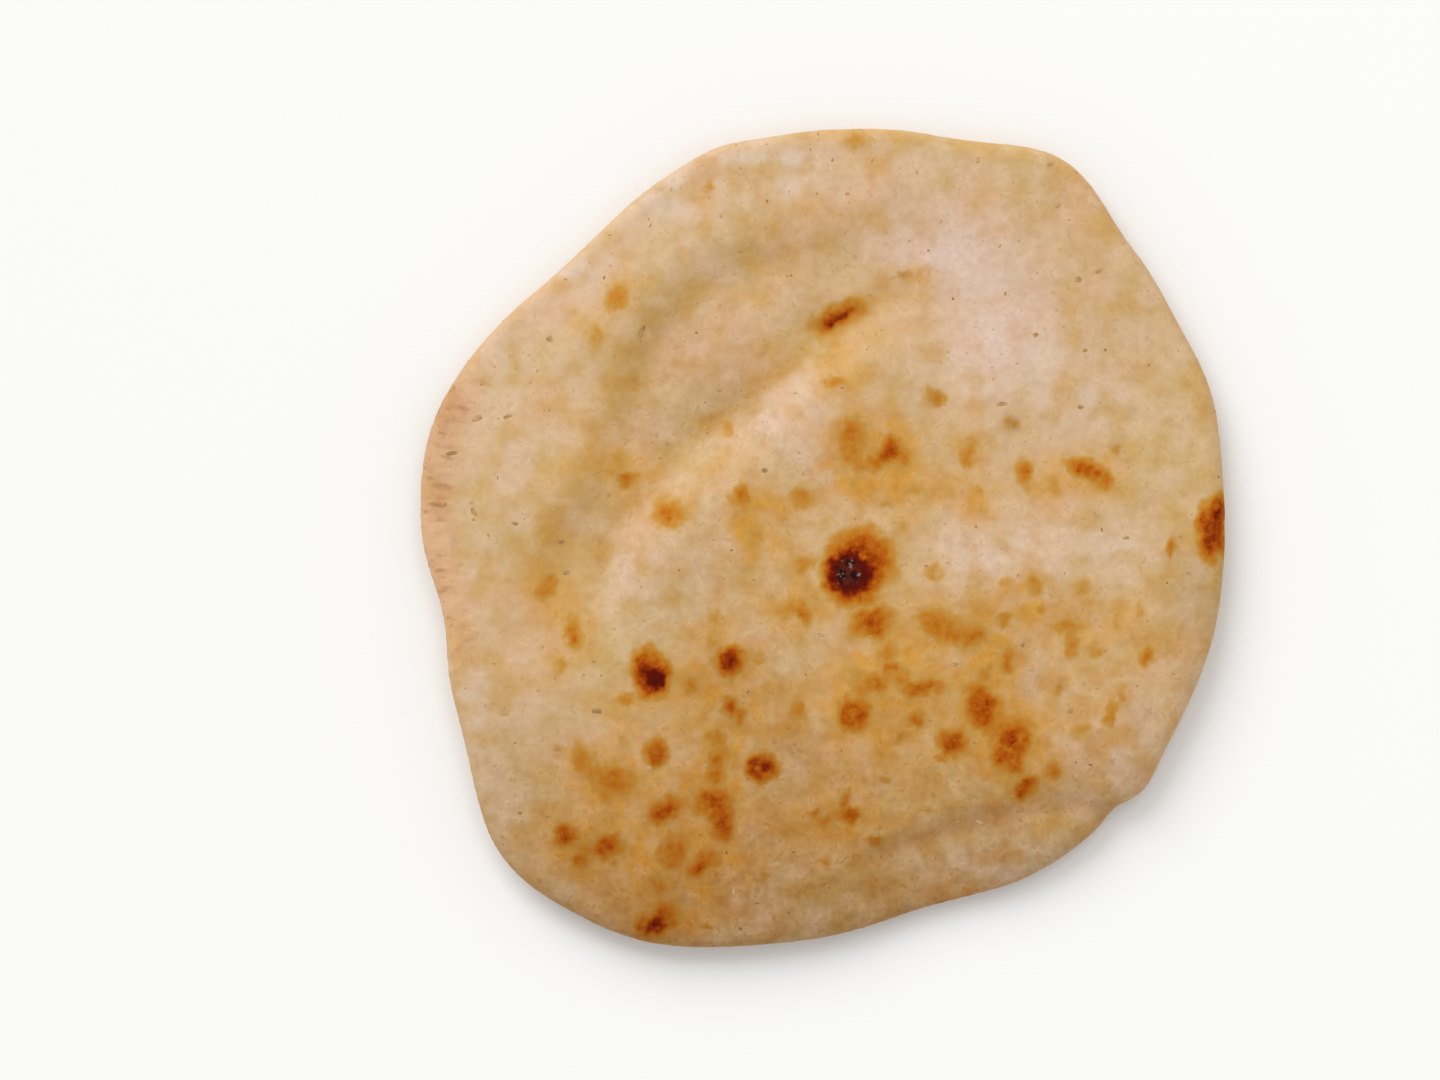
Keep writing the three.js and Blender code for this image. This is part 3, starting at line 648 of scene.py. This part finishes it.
def paint_rim(mesh, east, north, on_top, pale):
    """The rim's pleats and wrinkles, and its side painted paler as painted light, which adds to the pale
    patches.
    """
    azimuth = np.arctan2(north, east) % (2 * math.pi)
    reach = np.hypot(east, north)
    share = rim_share(azimuth, reach)
    lit = ease(share, *LIT_RIM) * ease(np.cos(azimuth - LIT_RIM_AZIMUTH), *LIT_RIM_FADE)
    store(mesh, "pale", np.clip(pale + LIT_RIM_SHARE * lit, 0, 1) * on_top)
    west = ease(azimuth, *np.radians(WEST_BEGINS)) * (1 - ease(azimuth, *np.radians(WEST_ENDS)))
    edge = ease(share, *PLEATED_RIM) * (1 - PLEATS_LOST * ease(share, *PLEATS_END))
    sides = PLEATS_ELSEWHERE + (1 - PLEATS_ELSEWHERE) * west
    store(mesh, "pleats", edge * sides * rim_wrinkles(azimuth, reach))
    store(mesh, "wrinkled", ease(share, *WRINKLED_RIM) * west * on_top)


def paint_attributes(mesh):
    """Names each place's toasting, stains, painted shade and painted sheen on the mesh, for the relief and
    the colours to read.
    """
    east, north, height = (read_vectors(mesh.vertices, "co") / MM).T
    upward = read_vectors(mesh.vertex_normals, "vector")[:, 2]
    on_top = ease(upward, *TOP_FACING)
    seen = as_seen(east, north, height)
    paint_spots(mesh, *astray(*seen), on_top)
    for name, stains in (("yellow", YELLOW_STAINS), ("painted_sheen", PAINTED_SHEEN_PATCHES), ("rosy", ROSY_STAINS)):
        store(mesh, name, stain_field(*seen, stains) * on_top)
    paint_lines(mesh, *seen, on_top)
    paint_shade_and_mottle(mesh, east, north, stain_field(*seen, SHADE_DIPS_AND_MARKS))
    paint_rim(mesh, east, north, on_top, stain_field(*seen, PALE_AND_LIT_PATCHES))
    store(mesh, "rim", 1 - ease(np.abs(upward), *RIM_FACING))
    store(mesh, "foot", 1 - on_top)
    store(mesh, "table", 1 - ease(height, *TABLE_CLEARANCE))


# Trees of nodes

def add(tree, kind, settings=None, **inputs):
    """A node of that kind, with its settings, and its inputs set or linked by name."""
    node = tree.nodes.new(kind)
    for name, value in (settings or {}).items():
        setattr(node, name, value)
    for name, value in inputs.items():
        put(tree, node, name.replace("_", " "), value)
    return node


def put(tree, node, key, value):
    """Sets or links one input of a node, by name or number."""
    socket = node.inputs[key]
    if isinstance(value, bpy.types.NodeSocket):
        tree.links.new(value, socket)
    else:
        socket.default_value = value


def with_inputs(tree, node, *values):
    """A node with its inputs set or linked in turn."""
    for index, value in enumerate(values):
        put(tree, node, index, value)
    return node


def math_node(tree, operation, *values):
    node = add(tree, "ShaderNodeMath", {"operation": operation})
    return with_inputs(tree, node, *values).outputs[0]


def plus(tree, first, second):
    return math_node(tree, "ADD", first, second)


def minus(tree, first, second):
    return math_node(tree, "SUBTRACT", first, second)


def times(tree, first, second):
    return math_node(tree, "MULTIPLY", first, second)


def vector_times(tree, first, second):
    node = add(tree, "ShaderNodeVectorMath", {"operation": "MULTIPLY"})
    return with_inputs(tree, node, first, second).outputs[0]


def scaled_vector(tree, vector, factor):
    node = add(tree, "ShaderNodeVectorMath", {"operation": "SCALE"}, Scale=factor)
    return with_inputs(tree, node, vector).outputs[0]


def remap(tree, value, low, high, to_low=0.0, to_high=1.0):
    """value from low to high, as a clamped smooth step from to_low to to_high."""
    node = add(tree, "ShaderNodeMapRange", {"interpolation_type": "SMOOTHSTEP"})
    return with_inputs(tree, node, value, low, high, to_low, to_high).outputs[0]


def noise(tree, place, size, detail=2.0, roughness=0.5, distortion=0.0):
    """Noise whose grain is about size metres, from 0 to 1."""
    node = add(tree, "ShaderNodeTexNoise", Scale=1 / size, Detail=detail, Roughness=roughness,
               Distortion=distortion, Vector=place)
    return node.outputs[0]


def named(tree, name):
    """A float attribute of the mesh, in a tree of geometry nodes."""
    node = add(tree, "GeometryNodeInputNamedAttribute", {"data_type": "FLOAT"}, Name=name)
    return node.outputs["Attribute"]


def new_tree(name, inputs):
    """A tree of geometry nodes with a geometry socket each way and named number inputs."""
    tree = bpy.data.node_groups.new(name, "GeometryNodeTree")
    tree.interface.new_socket("Geometry", in_out="INPUT", socket_type="NodeSocketGeometry")
    tree.interface.new_socket("Geometry", in_out="OUTPUT", socket_type="NodeSocketGeometry")
    for label in inputs:
        kind = "NodeSocketInt" if isinstance(inputs[label], int) else "NodeSocketFloat"
        tree.interface.new_socket(label, in_out="INPUT", socket_type=kind)
    return tree, tree.nodes.new("NodeGroupInput").outputs


def finish_tree(tree, geometry, material):
    """Ends a tree in realized geometry of that material."""
    realize = add(tree, "GeometryNodeRealizeInstances", Geometry=geometry)
    paint = add(tree, "GeometryNodeSetMaterial", Geometry=realize.outputs[0], Material=material)
    add(tree, "NodeGroupOutput", Geometry=paint.outputs[0])


def grown(name, mesh, tree, inputs):
    """The plain mesh that a tree makes of mesh, as a new object at the origin."""
    source = add_object(name + "_source", mesh)
    modifier = source.modifiers.new(tree.name, "NODES")
    modifier.node_group = tree
    for item in tree.interface.items_tree:
        if item.in_out == "INPUT" and item.name in inputs:
            modifier[item.identifier] = inputs[item.name]
    result = evaluated_mesh(source, name)
    source.modifiers.remove(modifier)
    bpy.data.objects.remove(source)
    return add_object(name, result)


def relief_height(tree, given):
    """How far each place is lifted, which is nothing where the loaf rests on the table."""
    place = tree.nodes.new("GeometryNodeInputPosition").outputs[0]

    def bumps(size, detail):
        node = add(tree, "ShaderNodeTexNoise", {"noise_dimensions": "4D"}, Detail=detail, Vector=place,
                   W=given["Seed"], Scale=math_node(tree, "DIVIDE", 1.0, given[size]))
        return minus(tree, node.outputs[0], 0.5)

    blisters = times(tree, bumps("Blister size", 1.0), given["Blister height"])
    creases = times(tree, named(tree, "crease"), given["Crease depth"])
    total = minus(tree, blisters, creases)
    for pattern, height in (
            (bumps("Pucker size", 2.0), given["Pucker height"]),
            (named(tree, "toast"), given["Spot swell"]),
            (named(tree, "char"), times(tree, given["Spot swell"], CHAR_SAG)),
            (named(tree, "pleats"), given["Pleat height"])):
        total = plus(tree, total, times(tree, pattern, height))
    return times(tree, total, minus(tree, 1.0, named(tree, "table")))


def relief_tree(material):
    """Lifts the crust along its normal by blisters, puckers, swollen spots and the rim's pleats."""
    tree, given = new_tree("crust relief", RELIEF)
    normal = tree.nodes.new("GeometryNodeInputNormal").outputs[0]
    lift = scaled_vector(tree, normal, relief_height(tree, given))
    move = add(tree, "GeometryNodeSetPosition", Geometry=given["Geometry"], Offset=lift)
    shade = add(tree, "GeometryNodeSetShadeSmooth", Geometry=move.outputs[0])
    finish_tree(tree, shade.outputs[0], material)
    return tree


def flake_scale(tree, given):
    """Each flake's own length and width, and the thickness that they share."""
    sizes = add(tree, "FunctionNodeRandomValue", {"data_type": "FLOAT_VECTOR"})
    with_inputs(tree, sizes, FLAKE_LEAST, FLAKE_MOST)
    flatten = add(tree, "ShaderNodeCombineXYZ", X=1.0, Y=1.0, Z=given["Flake thickness"])
    shape = vector_times(tree, sizes.outputs[0], flatten.outputs[0])
    return scaled_vector(tree, shape, given["Flake size"])


def flake_turn(tree, upright):
    """Each flake turned any way in the plane of the skin."""
    spin = add(tree, "FunctionNodeRandomValue", {"data_type": "FLOAT"})
    put(tree, spin, 2, 0.0)
    put(tree, spin, 3, 2 * math.pi)
    about = add(tree, "ShaderNodeCombineXYZ", Z=spin.outputs[1])
    turned = add(tree, "FunctionNodeRotateRotation", {"rotation_space": "LOCAL"})
    return with_inputs(tree, turned, upright, about.outputs[0]).outputs[0]


def flake_tree(material):
    """Strews flat bran flakes over a skin, each sunk halfway into it, and gives the flakes alone."""
    tree, given = new_tree("bran flakes", FLAKES)
    untoasted = remap(tree, named(tree, "toast"), 0.1, 0.4, 1.0, 0.0)
    density = times(tree, given["Flakes per square metre"], untoasted)
    strew = add(tree, "GeometryNodeDistributePointsOnFaces", {"distribute_method": "RANDOM"},
                Mesh=given["Geometry"], Density=density, Seed=given["Seed"])
    flake = add(tree, "GeometryNodeMeshUVSphere", Segments=6, Rings=4, Radius=0.5)
    place = add(tree, "GeometryNodeInstanceOnPoints", Points=strew.outputs["Points"],
                Instance=flake.outputs["Mesh"], Rotation=flake_turn(tree, strew.outputs["Rotation"]),
                Scale=flake_scale(tree, given))
    finish_tree(tree, place.outputs[0], material)
    return tree


# Materials

def blank_material(name):
    material = bpy.data.materials.new(name)
    material.use_nodes = True
    tree = material.node_tree
    tree.nodes.clear()
    shader = tree.nodes.new("ShaderNodeBsdfPrincipled")
    add(tree, "ShaderNodeOutputMaterial", Surface=shader.outputs[0])
    place = tree.nodes.new("ShaderNodeTexCoord").outputs["Object"]
    return material, tree, shader, place


def attribute(tree, name):
    return add(tree, "ShaderNodeAttribute", {"attribute_name": name}).outputs["Fac"]


def blend(tree, share, under, over, mode="MIX"):
    """over laid on under by share, from 0 to 1."""
    node = add(tree, "ShaderNodeMix", {"data_type": "RGBA", "blend_type": mode, "clamp_factor": True})
    for index, value in ((0, share), (6, under), (7, over)):
        put(tree, node, index, value)
    return node.outputs[2]


def shaded(tree, colour, change, tint):
    """A colour made brighter by change, or darker where change is below 0, its channels by tint's shares."""
    factors = tree.nodes.new("ShaderNodeCombineXYZ")
    shares = [math_node(tree, "MULTIPLY_ADD", change, share, 1.0) for share in tint]
    return vector_times(tree, colour, with_inputs(tree, factors, *shares).outputs[0])


def ramp(tree, value, stops):
    """The colours of stops, as (place, colour), along value."""
    node = tree.nodes.new("ShaderNodeValToRGB")
    elements = node.color_ramp.elements
    for element, (position, colour) in zip((elements[0], elements[1]), (stops[0], stops[-1])):
        element.position = position
        element.color = srgb(*colour)
    for position, colour in stops[1:-1]:
        elements.new(position).color = srgb(*colour)
    put(tree, node, 0, value)
    return node.outputs[0]


def roughened(tree, shader, height, strength, distance):
    """Gives a shader the fine relief of a pattern."""
    bump = add(tree, "ShaderNodeBump", Strength=strength, Distance=distance, Height=height)
    put(tree, shader, "Normal", bump.outputs[0])


def rim_strokes(tree, place):
    """Noise drawn out towards the loaf's middle, as the fine wrinkles of its rim are."""
    parts = with_inputs(tree, tree.nodes.new("ShaderNodeSeparateXYZ"), place)
    east, north, height = parts.outputs
    turn = math_node(tree, "ABSOLUTE", math_node(tree, "ARCTAN2", north, east))
    squares = plus(tree, times(tree, east, east), times(tree, north, north))
    reach = math_node(tree, "SQRT", squares)
    drawn = add(tree, "ShaderNodeCombineXYZ", X=times(tree, turn, STROKE_RADIUS),
                Y=times(tree, reach, STROKE_SHORTENING), Z=height)
    return noise(tree, drawn.outputs[0], STROKE_SIZE)


def stained(tree, colour, stains):
    """A colour under stains, as (attribute, share, colour)."""
    for name, share, tint in stains:
        colour = blend(tree, times(tree, attribute(tree, name), share), colour, srgb(*tint))
    return colour


def patchily_stained(tree, place, colour):
    """The folds' olive lines and the spots' golden glow, broken into patches."""
    patches = noise(tree, place, PATCH_SIZE, 1.2)
    for name, low, high, between, share, tint in PATCHY_STAINS:
        broken = times(tree, attribute(tree, name), remap(tree, patches, low, high, between, 1.0))
        colour = blend(tree, times(tree, broken, share), colour, srgb(*tint))
    return colour


def turned_hue(tree, place, colour):
    """Turns the crust's hue one way where broad noise is high, and another where it is low."""
    for size, detail, above, below in HUE_TURNS:
        pattern = noise(tree, place, size, detail)
        for (low, high), (share, tint) in ((HIGH_NOISE, above), (LOW_NOISE, below)):
            colour = blend(tree, remap(tree, pattern, low, high, 0.0, share), colour, srgb(*tint))
    return colour


def mottled(tree, place, colour, grain):
    """Darkens and lightens the crust by its mottle, and by its marks, grain and dust."""
    mottle = noise(tree, place, MOTTLE_SIZE, 1.8, 0.6)
    broad = times(tree, minus(tree, mottle, 0.5), MOTTLE_DEPTH)
    broad = times(tree, broad, attribute(tree, "mottled"))
    marks = noise(tree, place, MARK_SIZE, 1.6, 0.5, 0.5)
    fine = times(tree, remap(tree, marks, 0.6, 0.72), -MARK_DEPTH)
    for pattern, depth in ((grain, GRAIN_DEPTH), (noise(tree, place, DUST_SIZE), DUST_DEPTH)):
        fine = plus(tree, fine, times(tree, minus(tree, pattern, 0.5), depth))
    grainy = math_node(tree, "MULTIPLY_ADD", attribute(tree, "shade"), SHADE_GRAIN, LEAST_GRAIN)
    grainy = math_node(tree, "MULTIPLY_ADD", attribute(tree, "mottled"), MOTTLED_GRAIN, grainy)
    colour = shaded(tree, colour, broad, MOTTLE_TINT)
    return shaded(tree, colour, times(tree, fine, grainy), GRAIN_TINT)


def toasted(tree, colour, toast):
    """The crust under its toasted spots, and under the painted shade."""
    spots = ramp(tree, toast, TOAST_COLOURS)
    colour = blend(tree, remap(tree, toast, 0.05, 0.3), colour, spots)
    return blend(tree, attribute(tree, "shade"), colour, PAINTED_SHADE_TINT, "MULTIPLY")


def charred(tree, colour, char, grain, speckle):
    """The crust under its char, which is sooty and speckled pale grey."""
    soot = blend(tree, remap(tree, grain, 0.42, 0.6), srgb(*SOOT), srgb(*EMBER))
    colour = blend(tree, remap(tree, char, 0.3, 0.8), colour, soot)
    specks = times(tree, remap(tree, char, 0.25, 0.7), remap(tree, speckle, 0.57, 0.68))
    return blend(tree, times(tree, specks, 0.75), colour, srgb(*CHAR_SPECK_GREY))


def crust_colour(tree, place, toast, char):
    """Tan crust with its stains, painted sheen and glints, painted crease shade, mottle and wrinkled rim, and
    its toasted spots and painted shade laid over them.
    """
    clouds = noise(tree, place, CLOUD_SIZE, 3.0)
    grain = noise(tree, place, GRAIN_SIZE, 1.8)
    speckle = noise(tree, place, SPECK_SIZE, 2.0, 0.6)
    colour = blend(tree, remap(tree, clouds, 0.35, 0.65), srgb(*TAN), srgb(*OCHRE))
    colour = stained(tree, colour, UNDER_STAINS)
    colour = turned_hue(tree, place, colour)
    # Painted sheen, a reflection of the light
    colour = stained(tree, colour, PAINTED_SHEEN_LAYER)
    colour = patchily_stained(tree, place, colour)
    colour = stained(tree, colour, RIM_STAINS_AND_CREASE_SHADE)
    colour = mottled(tree, place, colour, grain)
    # Painted glints: white specks of light within the painted sheen
    glinted = times(tree, attribute(tree, "painted_sheen"), remap(tree, speckle, 0.54, 0.66))
    colour = blend(tree, times(tree, glinted, GLINT_DEPTH), colour, srgb(*GLINT_WHITE))
    strokes = times(tree, attribute(tree, "wrinkled"), remap(tree, rim_strokes(tree, place), 0.5, 0.72))
    colour = blend(tree, times(tree, strokes, 0.55), colour, srgb(*STROKE_BROWN))
    colour = stained(tree, colour, EDGE_STAINS)
    colour = toasted(tree, colour, toast)
    return charred(tree, colour, char, grain, speckle)


def frayed(tree, place):
    """How toasted and how charred the crust is, frayed by fine noise."""
    ragged = minus(tree, noise(tree, place, FRAY_SIZE, 3.0, 0.6), 0.5)
    toast = attribute(tree, "toast")
    char = attribute(tree, "char")
    toast_fray = times(tree, math_node(tree, "POWER", toast, 0.5), 0.65)
    char_fray = times(tree, char, 1.2)
    frayed_toast = plus(tree, toast, times(tree, ragged, toast_fray))
    return frayed_toast, plus(tree, char, times(tree, ragged, char_fray))


def crust_material():
    material, tree, shader, place = blank_material("baked_crust")
    toast, char = frayed(tree, place)
    put(tree, shader, "Base Color", crust_colour(tree, place, toast, char))
    dry = remap(tree, noise(tree, place, GLOSS_SIZE, 3.0), 0.3, 0.7, 0.62, 0.8)
    shine = times(tree, attribute(tree, "pale"), 0.14)
    put(tree, shader, "Roughness", minus(tree, dry, shine))
    put(tree, shader, "Specular IOR Level", remap(tree, toast, 0.2, 0.6, 0.12, 0.055))
    pits = times(tree, noise(tree, place, PIT_SIZE, 1.5), 0.25)
    height = plus(tree, pits, noise(tree, place, CRUMB_SIZE))
    roughened(tree, shader, height, 0.4, 0.3 * MM)
    return material


def bran_material(name, tints):
    """Bran of a few tints, as (place along the noise, colour)."""
    material, tree, shader, place = blank_material(name)
    colour = ramp(tree, noise(tree, place, 2.5 * MM, 1.0), tints)
    # The flakes take the crust's painted shade too
    put(tree, shader, "Base Color", blend(tree, attribute(tree, "shade"), colour, PAINTED_SHADE_TINT, "MULTIPLY"))
    put(tree, shader, "Specular IOR Level", 0.12)
    streaks = noise(tree, place, 0.3 * MM)
    put(tree, shader, "Roughness", remap(tree, streaks, 0.3, 0.7, 0.6, 0.85))
    roughened(tree, shader, streaks, 0.4, 0.05 * MM)
    return material


# The pieces

def make_crust():
    mesh = fine_skin(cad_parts["loaf"])
    paint_attributes(mesh)
    crust = grown("crust", mesh, relief_tree(crust_material()), RELIEF)
    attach(crust, "root")
    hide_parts("loaf")
    return crust


def make_bran(crust):
    tree = flake_tree(bran_material("bran", BRAN_COLOURS))
    flakes = grown("bran_flakes", crust.data.copy(), tree, FLAKES)
    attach(flakes, "root")


def lens_shape(sides=8):
    """A flat lens of radius 1: its points, and its faces all facing outwards."""
    rings = [(0.62, 0.75), (1.0, 0.0), (0.62, -0.75)]
    points = []
    for reach, height in rings:
        for side in range(sides):
            turn = 2 * math.pi * side / sides
            points.append((reach * math.cos(turn), reach * math.sin(turn), height))
    top, bottom = len(points), len(points) + 1
    points += [(0, 0, 1), (0, 0, -1)]
    faces = []
    for side in range(sides):
        after = (side + 1) % sides
        faces.append((side, after, top))
        faces.append((2 * sides + after, 2 * sides + side, bottom))
        for ring in (0, sides):
            faces.append((ring + sides + side, ring + sides + after, ring + after, ring + side))
    return np.array(points), faces


def make_flecks(crust):
    """The placed dark flecks, each a thin lens sunk halfway into the crust."""
    bpy.context.view_layer.update()
    shape, shape_faces = lens_shape()
    rng = np.random.default_rng(FLECK_SEED)
    camera_place = Vector((*FRAME_MIDDLE, CAMERA_HEIGHT))
    points, faces = [], []
    for x, y, half_long, half_short, turn in FLECKS:
        sight_line = Vector((x * MM, y * MM, RIM_HEIGHT)) - camera_place
        hit, spot, normal, _ = crust.ray_cast(camera_place, sight_line)
        if not hit:
            continue
        along = Vector((math.cos(math.radians(turn)), math.sin(math.radians(turn)), 0))
        across = normal.cross(along).normalized()
        along = across.cross(normal)
        ragged = 1 + FLECK_RAGGEDNESS * rng.standard_normal((len(shape), 1)).clip(-1.5, 1.5)
        sizes = np.array([half_long, half_short, FLECK_THICKNESS]) * MM
        directions = np.array([along, across, normal])
        faces += [tuple(corner + len(points) for corner in face) for face in shape_faces]
        points += (np.array(spot) + (shape * ragged * sizes) @ directions).tolist()
    mesh = bpy.data.meshes.new("dark_flecks")
    mesh.from_pydata(points, [], faces)
    mesh.materials.append(bran_material("dark_bran", DARK_BRAN_COLOURS))
    flecks = add_object("dark_flecks", mesh)
    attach(flecks, "root")


# The stage

def make_floor():
    corners = [(-1, -1), (1, -1), (1, 1), (-1, 1)]
    points = [(x * FLOOR_REACH, y * FLOOR_REACH, -FLOOR_DROP) for x, y in corners]
    mesh = bpy.data.meshes.new("floor")
    mesh.from_pydata(points, [], [(0, 1, 2, 3)])
    material, tree, shader, _ = blank_material("pale_floor")
    put(tree, shader, "Base Color", srgb(*FLOOR_COLOUR))
    put(tree, shader, "Roughness", 0.9)
    put(tree, shader, "Specular IOR Level", 0.1)
    mesh.materials.append(material)
    add_object("floor", mesh)


def aim_at_loaf(lamp, place):
    lamp.location = place
    lamp.rotation_euler = (-lamp.location).to_track_quat("-Z", "Y").to_euler()


def make_softbox():
    """A square soft light that looks at the loaf."""
    light = bpy.data.lights.new("north_softbox", "AREA")
    light.shape = "SQUARE"
    light.size = SOFTBOX_SIZE
    light.energy = SOFTBOX_POWER
    aim_at_loaf(add_object("north_softbox", light), SOFTBOX_PLACE)


def make_window():
    """An even, distant light from one side, softened over its spread in degrees."""
    light = bpy.data.lights.new("north_west_window", "SUN")
    light.angle = math.radians(WINDOW_SPREAD)
    light.energy = WINDOW_STRENGTH
    aim_at_loaf(add_object("north_west_window", light), WINDOW_PLACE)


def make_light():
    world = bpy.data.worlds.new("studio")
    world.use_nodes = True
    background = world.node_tree.nodes["Background"]
    background.inputs["Color"].default_value = (1.0, 1.0, 1.0, 1.0)
    background.inputs["Strength"].default_value = SKY_STRENGTH
    bpy.context.scene.world = world
    make_window()
    make_softbox()
    bpy.context.scene.view_settings.view_transform = "Standard"


def make_camera():
    data = bpy.data.cameras.new("camera")
    data.sensor_width = SENSOR_WIDTH
    data.lens = SENSOR_WIDTH * (CAMERA_HEIGHT - RIM_HEIGHT) / FRAME_WIDTH
    camera = add_object("camera", data)
    camera.location = (*FRAME_MIDDLE, CAMERA_HEIGHT)
    bpy.context.scene.camera = camera


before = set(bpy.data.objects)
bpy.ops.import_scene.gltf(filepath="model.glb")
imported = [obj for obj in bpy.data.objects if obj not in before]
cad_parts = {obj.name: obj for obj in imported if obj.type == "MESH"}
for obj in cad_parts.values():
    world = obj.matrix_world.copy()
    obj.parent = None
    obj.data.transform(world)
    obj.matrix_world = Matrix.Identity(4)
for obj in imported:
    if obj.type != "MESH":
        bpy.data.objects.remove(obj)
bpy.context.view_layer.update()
make_camera()
make_light()
make_floor()
crust = make_crust()
make_bran(crust)
make_flecks(crust)
